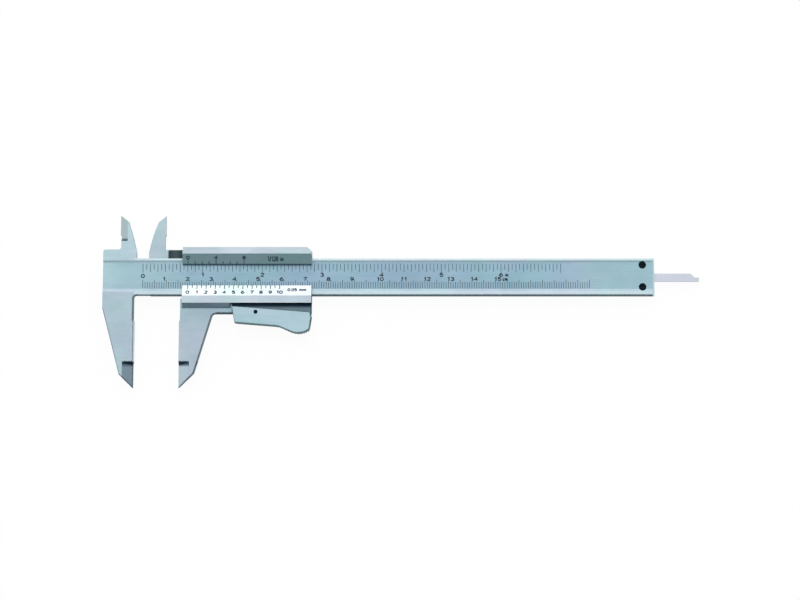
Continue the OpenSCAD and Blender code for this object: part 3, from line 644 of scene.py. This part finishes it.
def sloping_face(node, side, lean):
    """Frame of the node's largest face on one side of the beam that leans to +Y or -Y.

    Its origin is on the edge nearest the beam, at the slider's zero plane.
    """
    mesh = frame["nodes"][node].data
    faces = [p for p in mesh.polygons
             if side * (p.center.y - CENTRE_Y) > 0 and p.normal.z > 0.8 and p.normal.y * lean > 0.2]
    largest = max(faces, key=lambda p: p.area)
    level = [p for p in faces if p.normal.dot(largest.normal) > 0.9999]
    low = min((mesh.vertices[i].co for p in level for i in p.vertices), key=lambda v: v.z)
    normal = largest.normal.copy()
    up = Vector((1, 0, 0)).cross(normal)
    up = up if up.y > 0 else -up
    return face_frame(Vector((SLIDER_ZERO, low.y, low.z)), up.normalized(), normal)


def arc(x, y, rx, ry, start, end, steps=14):
    """Points of an elliptic arc, with its angles in degrees."""
    turns = [math.radians(start + (end - start) * i / steps) for i in range(steps + 1)]
    return [(x + rx * math.cos(a), y + ry * math.sin(a)) for a in turns]


# Width and strokes of each figure and letter, in hundredths of its height
FIGURES = {
    "0": (60, [arc(30, 50, 27, 50, 90, 450, 24)]),
    "1": (44, [[(10, 76), (32, 100), (32, 0)]]),
    "2": (60, [arc(30, 73, 25, 27, 165, -38) + [(4, 0), (57, 0)]]),
    "3": (60, [arc(29, 76, 23, 24, 150, -90) + arc(29, 26, 27, 26, 90, -150)]),
    "4": (62, [[(44, 0), (44, 100), (3, 30), (60, 30)]]),
    "5": (60, [[(52, 100), (13, 100), (9, 56)] + arc(30, 32, 26, 32, 138, -150)]),
    "6": (60, [arc(56, 31, 52, 69, 102, 180) + arc(30, 31, 26, 31, 180, 540, 20)]),
    "7": (58, [[(3, 100), (55, 100), (20, 0)]]),
    "8": (60, [arc(30, 76, 21, 24, 90, 450, 20), arc(30, 26, 26, 26, 90, 450, 20)]),
    "9": (60, [arc(4, 69, 52, 69, -78, 0) + arc(30, 69, 26, 31, 0, 360, 20)]),
    "/": (42, [[(0, -8), (40, 108)]]),
    ".": (16, [[(7, 0), (7, 10)]]),
    " ": (40, []),
    "c": (50, [arc(26, 32, 22, 32, 48, 312)]),
    "i": (22, [[(10, 0), (10, 64)], [(10, 84), (10, 94)]]),
    "n": (52, [[(6, 64), (6, 0)], arc(25, 42, 19, 22, 180, 0) + [(44, 0)]]),
    "m": (82, [[(6, 64), (6, 0)], arc(23, 42, 17, 22, 180, 0) + [(40, 0)],
                 arc(57, 42, 17, 22, 180, 0) + [(74, 0)]]),
}
LETTER_GAP = 14


def word_strokes(text, x, y, height, stretch):
    """Strokes of a word whose middle is at x, y, widened by stretch."""
    start = (LETTER_GAP - sum(FIGURES[c][0] + LETTER_GAP for c in text)) / 2
    part = height / 100
    strokes = []
    for letter in text:
        width, lines = FIGURES[letter]
        strokes += [[(x + (start + u) * part * stretch, y + (v - 50) * part) for u, v in line]
                    for line in lines]
        start += width + LETTER_GAP
    return strokes


def edge_offsets(points, half):
    """Left and right edge of a flat line of constant width along the points."""
    closed = (Vector(points[0]) - Vector(points[-1])).length < 0.1 * half
    left, right = [], []
    for i, point in enumerate(points):
        before = points[i - 1] if i else (points[-2] if closed else point)
        after = points[i + 1] if i + 1 < len(points) else (points[1] if closed else point)
        into = (Vector(point) - Vector(before)).normalized() if before != point else None
        out = (Vector(after) - Vector(point)).normalized() if after != point else None
        into, out = into or out, out or into
        bisector = (into + out).normalized()
        side = Vector((-bisector.y, bisector.x)) * half / max(0.5, bisector.dot(out))
        left.append(Vector(point) + side)
        right.append(Vector(point) - side)
    return left, right


def mesh_data(name, mesh):
    """The finished mesh under its name."""
    data = bpy.data.meshes.new(name)
    mesh.to_mesh(data)
    mesh.free()
    return data


def tubes(name, routes, smooth=False):
    """Mesh of tubes with flat ends, each a list of rings of points."""
    mesh = bmesh.new()
    for route in routes:
        rings = [[mesh.verts.new(point) for point in ring] for ring in route]
        count = len(rings[0])
        for one, two in zip(rings, rings[1:]):
            for i in range(count):
                j = (i + 1) % count
                mesh.faces.new((one[i], one[j], two[j], two[i])).smooth = smooth
        mesh.faces.new(rings[0][::-1])
        mesh.faces.new(rings[-1])
    bmesh.ops.recalc_face_normals(mesh, faces=mesh.faces)
    return mesh_data(name, mesh)


def line_mesh(name, lines, face, lift):
    """Mesh of flat lines, each a list of points and a width, that stand a little over a face."""
    return tubes(name, [[[face @ Vector((p.x, p.y, z))
                          for p, z in ((a, lift), (b, lift), (b, -lift), (a, -lift))]
                         for a, b in zip(*edge_offsets(points, width / 2))] for points, width in lines])


def graduations(zero, count, step, start, ends, width):
    """Lines of a scale, each up to the end of the first divisor of its number in ends."""
    lines = []
    for i in range(count + 1):
        end = next(end for divisor, end in ends.items() if i % divisor == 0)
        lines.append(([(zero + i * step, start), (zero + i * step, end)], width))
    return lines


def words(texts, height, width, stretch):
    """Lines of words, each given as text, x and y."""
    return [(stroke, width) for text, x, y in texts
            for stroke in word_strokes(text, x, y, height, stretch)]


class CALIPER_OT_beam_finish(bpy.types.Operator):
    """Gives the beam its ground steel, and the plate on its back its own"""
    bl_idname = "caliper.beam_finish"
    bl_label = "Finish beam"

    def execute(self, context):
        metals = context.scene.caliper_metals
        # Of these tints, the ramp, middle, fixed knife and run-out ones paint shade, shadow and
        # reflection onto the steel; the channel, jaw and inside bevel ones are its own tones.
        tints = [(channel_mask, metals.channel_tint), (ramp_mask, metals.ramp_tint),
                 (middle_mask, metals.middle_tint),
                 (jaw_mask, metals.jaw_tint), (fixed_jaw_mask, metals.fixed_jaw_tint),
                 (bevel_mask(-1, KNIFE_START), metals.fixed_knife_tint),
                 (runout_mask(-1, KNIFE_START, 0.9 * MM, 2.4 * MM), metals.runout_tint),
                 (bevel_mask(1, INSIDE_START), metals.inside_tint),
                 (runout_mask(1, INSIDE_START, 0.4 * MM, 1.4 * MM), metals.runout_tint)]
        dress(satin_steel("beam_steel", metals.beam, metals, tints=tints), "beam")
        dress(satin_steel("plate_steel", metals.plate, metals, 0.04, (0.5, 1)),
              "end_stop_plate", "rod_cover_plate")
        return {"FINISHED"}


class CALIPER_OT_slider_finish(bpy.types.Operator):
    """Gives the slider with the moving jaws its satin steel"""
    bl_idname = "caliper.slider_finish"
    bl_label = "Finish slider"

    def execute(self, context):
        metals = context.scene.caliper_metals
        # All these tints but the jaw tint paint light onto the slider: shade on its leaning faces and
        # knife, shadows at the vernier's foot, the run-out, under the ridge and in the recess, and a
        # lighter millimetre vernier.
        tints = [(slope_mask(1, 1), metals.crown_tint), (slope_mask(1, -1), metals.upper_tint),
                 (foot_mask, metals.foot_tint), (slope_mask(-1, -1), metals.apron_tint),
                 (beside_vernier_mask, metals.slider_tint),
                 (bevel_mask(-1, KNIFE_START), metals.moving_knife_tint),
                 (runout_mask(-1, KNIFE_START, 1.2 * MM, 2.2 * MM), metals.runout_tint),
                 (jaw_mask, metals.jaw_tint), (web_mask, metals.web_tint),
                 (recess_mask, metals.recess_tint)]
        dress(satin_steel("slider_steel", metals.slider, metals, tints=tints), "slider_body")
        return {"FINISHED"}


class CALIPER_OT_lever_finish(bpy.types.Operator):
    """Gives the thumb lever its pressed steel"""
    bl_idname = "caliper.lever_finish"
    bl_label = "Finish lever"

    def execute(self, context):
        metals = context.scene.caliper_metals
        turn = math.radians(-4)
        dress(satin_steel("lever_steel", metals.lever, metals, grain=(0.7, 1), turn=turn), "lock_lever")
        return {"FINISHED"}


class CALIPER_OT_rod_finish(bpy.types.Operator):
    """Gives the depth rod and its rivets their drawn steel"""
    bl_idname = "caliper.rod_finish"
    bl_label = "Finish depth rod"

    def execute(self, context):
        metals = context.scene.caliper_metals
        dress(satin_steel("rod_steel", metals.rod, metals, -0.06, (3, 0.7)), "depth_rod")
        dress(satin_steel("rivet_steel", metals.rod, metals, grain=(0.1, 1)),
              "rod_rivet_near", "rod_rivet_far")
        return {"FINISHED"}


class CALIPER_OT_fastener_finish(bpy.types.Operator):
    """Gives the screws, the lever's pin, the gib strip and the brake pin their finishes"""
    bl_idname = "caliper.fastener_finish"
    bl_label = "Finish fasteners"

    def execute(self, context):
        metals = context.scene.caliper_metals
        dress(black_oxide("black_oxide", metals.black, metals),
              "gib_strip", "gib_screw_near", "gib_screw_far")
        dress(black_oxide("pin_black", metals.pin_black, metals, 0.05),
              "end_stop_screw_upper", "end_stop_screw_lower", "lever_pin")
        dress(satin_steel("screw_steel", shade(metals.plate, 0.9), metals, -0.06, (0.1, 1)),
              *[f"cover_screw_{i}" for i in range(1, 5)])
        dress(turned_brass("brake_brass", metals.brass, metals), "brake_pin")
        return {"FINISHED"}


class CALIPER_OT_beam_scales(bpy.types.Operator):
    """Draws the inch and millimetre scales in the beam's channel"""
    bl_idname = "caliper.beam_scales"
    bl_label = "Beam scales"

    # Starts and ends of the lines and middles of the figures, up from the beam's centre line, with the
    # ends of inches, eighths and sixteenths, and of whole, half and tenth centimetres
    inch_top = 5.73 * MM
    inch_ends = {16: 1.85 * MM, 2: 2.25 * MM, 1: 3.1 * MM}
    inch_figure_y = 0.95 * MM
    zero_figure_y = 0.45 * MM
    mm_bottom = -4.85 * MM
    mm_ends = {10: -1.2 * MM, 5: -1.3 * MM, 1: -2.1 * MM}
    mm_figure_y = -0.85 * MM
    mm_last_figure = 15
    # Shifts of figures with one and two digits from their line, and of the units from the last figures
    mm_one_shift = -1.0 * MM
    mm_two_shift = 0.95 * MM
    inch_unit_shift = 2.4 * MM
    mm_unit_shift = 3.2 * MM

    def execute(self, context):
        marks = context.scene.caliper_scales
        ink = engraving_ink("scale_ink", marks.ink)
        face = face_frame(Vector((BEAM_ZERO, CENTRE_Y, CHANNEL_Z)), Vector((0, 1, 0)), Vector((0, 0, 1)))
        for name, (lines, figures, unit) in (("inch_scale", self.inch_marks(marks)),
                                             ("millimetre_scale", self.millimetre_marks(marks))):
            lines += words(figures, marks.beam_figure, marks.figure_line, marks.figure_stretch)
            lines += words([unit], marks.beam_figure, marks.figure_line, 1.0)
            new_piece(name, line_mesh(name, lines, face, marks.lift), ink, "beam")
        return {"FINISHED"}

    def inch_marks(self, marks):
        """Lines of sixteenths of an inch, a figure at each whole inch, and the unit."""
        lines = graduations(marks.zero, 16 * marks.inches, INCH / 16,
                            self.inch_top, self.inch_ends, marks.beam_line)
        figures = [(str(i), marks.zero + i * INCH, self.inch_figure_y) for i in range(1, marks.inches)]
        figures.append(("0", marks.zero, self.zero_figure_y))
        return lines, figures, ("in", figures[-2][1] + self.inch_unit_shift, self.inch_figure_y)

    def millimetre_marks(self, marks):
        """Lines of millimetres, a figure at each centimetre, and the unit."""
        lines = graduations(marks.zero, marks.millimetres, MM,
                            self.mm_bottom, self.mm_ends, marks.beam_line)
        figures = []
        for i in range(1, self.mm_last_figure + 1):
            shift = self.mm_one_shift if i < 10 else self.mm_two_shift
            figures.append((str(i), marks.zero + 10 * i * MM + shift, self.mm_figure_y))
        return lines, figures, ("cm", figures[-1][1] + self.mm_unit_shift, self.mm_figure_y)


class CALIPER_OT_vernier_scales(bpy.types.Operator):
    """Draws both vernier scales on the slider's sloping faces"""
    bl_idname = "caliper.vernier_scales"
    bl_label = "Vernier scales"

    # Divisions, ends of the lines with and without a figure, and middles of the figures, up from the
    # edge nearest the beam
    inch_divisions = 8
    inch_span = INCH * 15 / 16
    inch_ends = {4: 2.5 * MM, 1: 1.6 * MM}
    inch_figure_y = 3.2 * MM
    inch_word_y = 2.6 * MM
    mm_divisions = 20
    mm_span = 39 * MM
    mm_ends = {2: -1.75 * MM, 1: -1.2 * MM}
    mm_figure_y = -3.25 * MM
    # Middles of the two words, from the slider's measuring face, and how far they are widened
    inch_word_x = 40.8 * MM
    inch_word_stretch = 0.78
    mm_word_x = 50.0 * MM
    mm_word_y = -2.1 * MM
    mm_word_stretch = 1.4

    def execute(self, context):
        marks = context.scene.caliper_scales
        ink = engraving_ink("vernier_ink", marks.ink)
        for name, side, (lines, figures, word, height, stretch) in (
                ("inch_vernier", 1, self.inch_marks(marks)),
                ("millimetre_vernier", -1, self.millimetre_marks(marks))):
            lines += words(figures, marks.vernier_figure, marks.figure_line, marks.figure_stretch)
            lines += words([word], height, marks.word_line, stretch)
            face = sloping_face("slider_body", side, -side)
            new_piece(name, line_mesh(name, lines, face, marks.lift), ink, "slider")
        return {"FINISHED"}

    def inch_marks(self, marks):
        """Lines that read 128ths of an inch, a figure at every fourth one, and the word."""
        step = self.inch_span / self.inch_divisions
        figures = [(str(i), marks.zero + i * step, self.inch_figure_y)
                   for i in range(0, self.inch_divisions + 1, 4)]
        lines = graduations(marks.zero, self.inch_divisions, step, 0, self.inch_ends, marks.vernier_line)
        word = ("1/128 in", self.inch_word_x, self.inch_word_y)
        return lines, figures, word, marks.inch_word, self.inch_word_stretch

    def millimetre_marks(self, marks):
        """Lines that read 20ths of a millimetre, a figure at every second one, and the word."""
        step = self.mm_span / self.mm_divisions
        figures = [(str(i // 2), marks.zero + i * step, self.mm_figure_y)
                   for i in range(0, self.mm_divisions + 1, 2)]
        lines = graduations(marks.zero, self.mm_divisions, step, 0, self.mm_ends, marks.vernier_line)
        word = ("0.05 mm", self.mm_word_x, self.mm_word_y)
        return lines, figures, word, marks.mm_word, self.mm_word_stretch


class CALIPER_OT_lever_spring(bpy.types.Operator):
    """Winds the spring under the thumb pad from round wire, with closed ends"""
    bl_idname = "caliper.lever_spring"
    bl_label = "Lever spring"

    ring = 10
    steps_per_turn = 28
    # Share of the wire's diameter that each closed end turn climbs, and the share kept when pressed
    closed_climb_share = 1.06
    pressed_share = 0.887

    def execute(self, context):
        sizes = context.scene.caliper_spring
        low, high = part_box("lever_spring")
        wire = sizes.wire / 2
        radius = (high.x - low.x) / 2 - wire
        middle = (low + high) / 2
        route = self.centre_line(sizes.turns, sizes.wire, radius, middle, low.y + wire, high.y - wire)
        rings = [self.around(route, i, wire) for i in range(len(route))]
        mesh = tubes("lever_spring_coil", [rings], smooth=True)
        metals = context.scene.caliper_metals
        steel = satin_steel("spring_steel", slot_colour("spring_steel"), metals, -0.1, (0.1, 1))
        coil = new_piece("lever_spring_coil", mesh, steel, "slider")
        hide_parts("lever_spring")
        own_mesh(coil)
        return {"FINISHED"}

    def centre_line(self, turns, wire, radius, middle, y0, y1):
        """Points of a helix along Y whose first and last turns lie against their neighbours."""
        closed = self.closed_climb_share * wire
        open_pitch = (y1 - y0 - 2 * closed) / (turns - 2)
        points = []
        count = round(turns * self.steps_per_turn)
        for i in range(count + 1):
            t = turns * i / count
            y = y0 + closed * min(t, 1) + open_pitch * min(max(t - 1, 0), turns - 2)
            y += closed * max(t - turns + 1, 0)
            a = math.tau * t
            points.append(Vector((middle.x + radius * math.cos(a), y, middle.z + radius * math.sin(a))))
        return points

    def around(self, route, i, radius):
        """Ring of points around one point of a route."""
        way = (route[min(i + 1, len(route) - 1)] - route[max(i - 1, 0)]).normalized()
        side = way.cross(Vector((0, 1, 0))).normalized()
        over = side.cross(way)
        return [route[i] + (side * math.cos(a) + over * math.sin(a)) * radius
                for a in (math.tau * j / self.ring for j in range(self.ring))]


class CALIPER_OT_studio(bpy.types.Operator):
    """Lays a white floor, hangs the key lamp and sets the camera"""
    bl_idname = "caliper.studio"
    bl_label = "Studio"

    floor_half = 4.0
    floor_drop = 0.02 * MM
    lamp_side = 0.9
    lamp_away = 3.0
    lamp_direction = Vector((-0.1, 0.62, 0.71))
    sensor_width = 36
    clip_start = 0.01

    def execute(self, context):
        studio = context.scene.caliper_studio
        self.floor(studio)
        self.world(context.scene, studio)
        self.lamp(context.scene, studio)
        self.camera(context.scene, studio)
        context.scene.view_settings.view_transform = "Standard"
        return {"FINISHED"}

    def floor(self, studio):
        """A plain floor just under the caliper."""
        mesh = bmesh.new()
        bmesh.ops.create_grid(mesh, x_segments=1, y_segments=1, size=self.floor_half)
        data = mesh_data("floor", mesh)
        material, tree, shader, place = new_material("pale_floor")
        paper = noise(tree, place, (0.8 * MM,) * 3, 3.0)
        colour = mix_colour(tree, paper, studio.floor, shade(studio.floor, 0.995))
        fill(tree, shader, {"Base Color": colour, "Roughness": 0.9, "Specular IOR Level": 0.0})
        self.paper_glow(tree, shader, studio.paper_glow)
        data.materials.append(material)
        floor = bpy.data.objects.new("floor", data)
        floor.location.z = -self.floor_drop
        bpy.context.scene.collection.objects.link(floor)

    def paper_glow(self, tree, shader, share):
        """Shows the floor partly as plain white paper to the camera, to metal and to glass."""
        rays = add_node(tree, "ShaderNodeLightPath").outputs
        seen = math_node(tree, "MAXIMUM", rays["Is Camera Ray"], rays["Is Glossy Ray"])
        seen = math_node(tree, "MAXIMUM", seen, rays["Is Transmission Ray"])
        white = add_node(tree, "ShaderNodeEmission", {"Color": (1.0, 1.0, 1.0, 1.0), "Strength": 1.0})
        shown = math_node(tree, "MULTIPLY", seen, share)
        both = add_node(tree, "ShaderNodeMixShader", {
            0: shown, 1: shader.outputs["BSDF"], 2: white.outputs["Emission"]})
        output = next(n for n in tree.nodes if n.type == "OUTPUT_MATERIAL")
        tree.links.new(both.outputs["Shader"], output.inputs["Surface"])

    def world(self, scene, studio):
        """A studio that is bright on its far side and dark and bluish on its near side."""
        world = bpy.data.worlds.new("studio")
        world.use_nodes = True
        scene.world = world
        tree = world.node_tree
        tree.nodes.clear()
        place = add_node(tree, "ShaderNodeTexCoord").outputs["Generated"]
        far = remap(tree, component(tree, place, "Y"), -0.7, 0.3)
        strength = remap(tree, far, 0.0, 1.0, studio.dark_side, studio.bright_side)
        plain = remap(tree, far, 0.0, 0.4)
        colour = mix_colour(tree, plain, tuple(studio.fill_tint), (1.0, 1.0, 1.0))
        sky = add_node(tree, "ShaderNodeBackground", {"Color": colour, "Strength": strength})
        add_node(tree, "ShaderNodeOutputWorld", {"Surface": sky.outputs["Background"]})

    def lamp(self, scene, studio):
        """One key lamp from the far left."""
        light = bpy.data.lights.new("key_lamp", "AREA")
        light.shape = "SQUARE"
        light.size = self.lamp_side
        light.energy = studio.lamp
        lamp = bpy.data.objects.new("key_lamp", light)
        away = self.lamp_direction.normalized()
        lamp.location = away * self.lamp_away
        lamp.rotation_euler = away.to_track_quat("Z", "Y").to_euler()
        scene.collection.objects.link(lamp)

    def camera(self, scene, studio):
        """Camera nearly over the caliper, a little towards its lower edge."""
        data = bpy.data.cameras.new("camera")
        data.sensor_width = self.sensor_width
        data.lens = studio.lens
        data.clip_start = self.clip_start
        camera = bpy.data.objects.new("camera", data)
        aim = Vector((BEAM_ZERO + studio.aim_x, CENTRE_Y + studio.aim_y, BEAM_TOP))
        back = Vector((0, -math.cos(studio.tilt), math.sin(studio.tilt)))
        camera.location = aim + back * studio.distance
        camera.rotation_euler = back.to_track_quat("Z", "Y").to_euler()
        scene.collection.objects.link(camera)
        scene.camera = camera


OPERATORS = (
    CALIPER_OT_studio,
    CALIPER_OT_beam_finish,
    CALIPER_OT_slider_finish,
    CALIPER_OT_lever_finish,
    CALIPER_OT_rod_finish,
    CALIPER_OT_fastener_finish,
    CALIPER_OT_beam_scales,
    CALIPER_OT_vernier_scales,
    CALIPER_OT_lever_spring,
)
SETTINGS = {
    "caliper_metals": MetalSettings,
    "caliper_scales": ScaleSettings,
    "caliper_spring": SpringSettings,
    "caliper_studio": StudioSettings,
}


class CALIPER_PT_panel(bpy.types.Panel):
    """Sizes, colours and steps of the caliper's finish"""
    bl_idname = "CALIPER_PT_panel"
    bl_label = "Pocket caliper"
    bl_space_type = "VIEW_3D"
    bl_region_type = "UI"
    bl_category = "Caliper"

    def draw(self, context):
        for name in SETTINGS:
            group = getattr(context.scene, name)
            box = self.layout.box()
            for key in group.__annotations__:
                box.prop(group, key)
        for operator in OPERATORS:
            self.layout.operator(operator.bl_idname)


CLASSES = (*SETTINGS.values(), *OPERATORS, CALIPER_PT_panel)


def register():
    """Adds the settings, the operators and the panel."""
    for cls in CLASSES:
        bpy.utils.register_class(cls)
    for name, group in SETTINGS.items():
        setattr(bpy.types.Scene, name, PointerProperty(type=group))


def unregister():
    """Takes them out again."""
    for name in SETTINGS:
        delattr(bpy.types.Scene, name)
    for cls in reversed(CLASSES):
        bpy.utils.unregister_class(cls)


def main():
    register()
    for operator in OPERATORS:
        getattr(bpy.ops.caliper, operator.bl_idname.split(".")[1])()


if __name__ == "__main__":
    main()
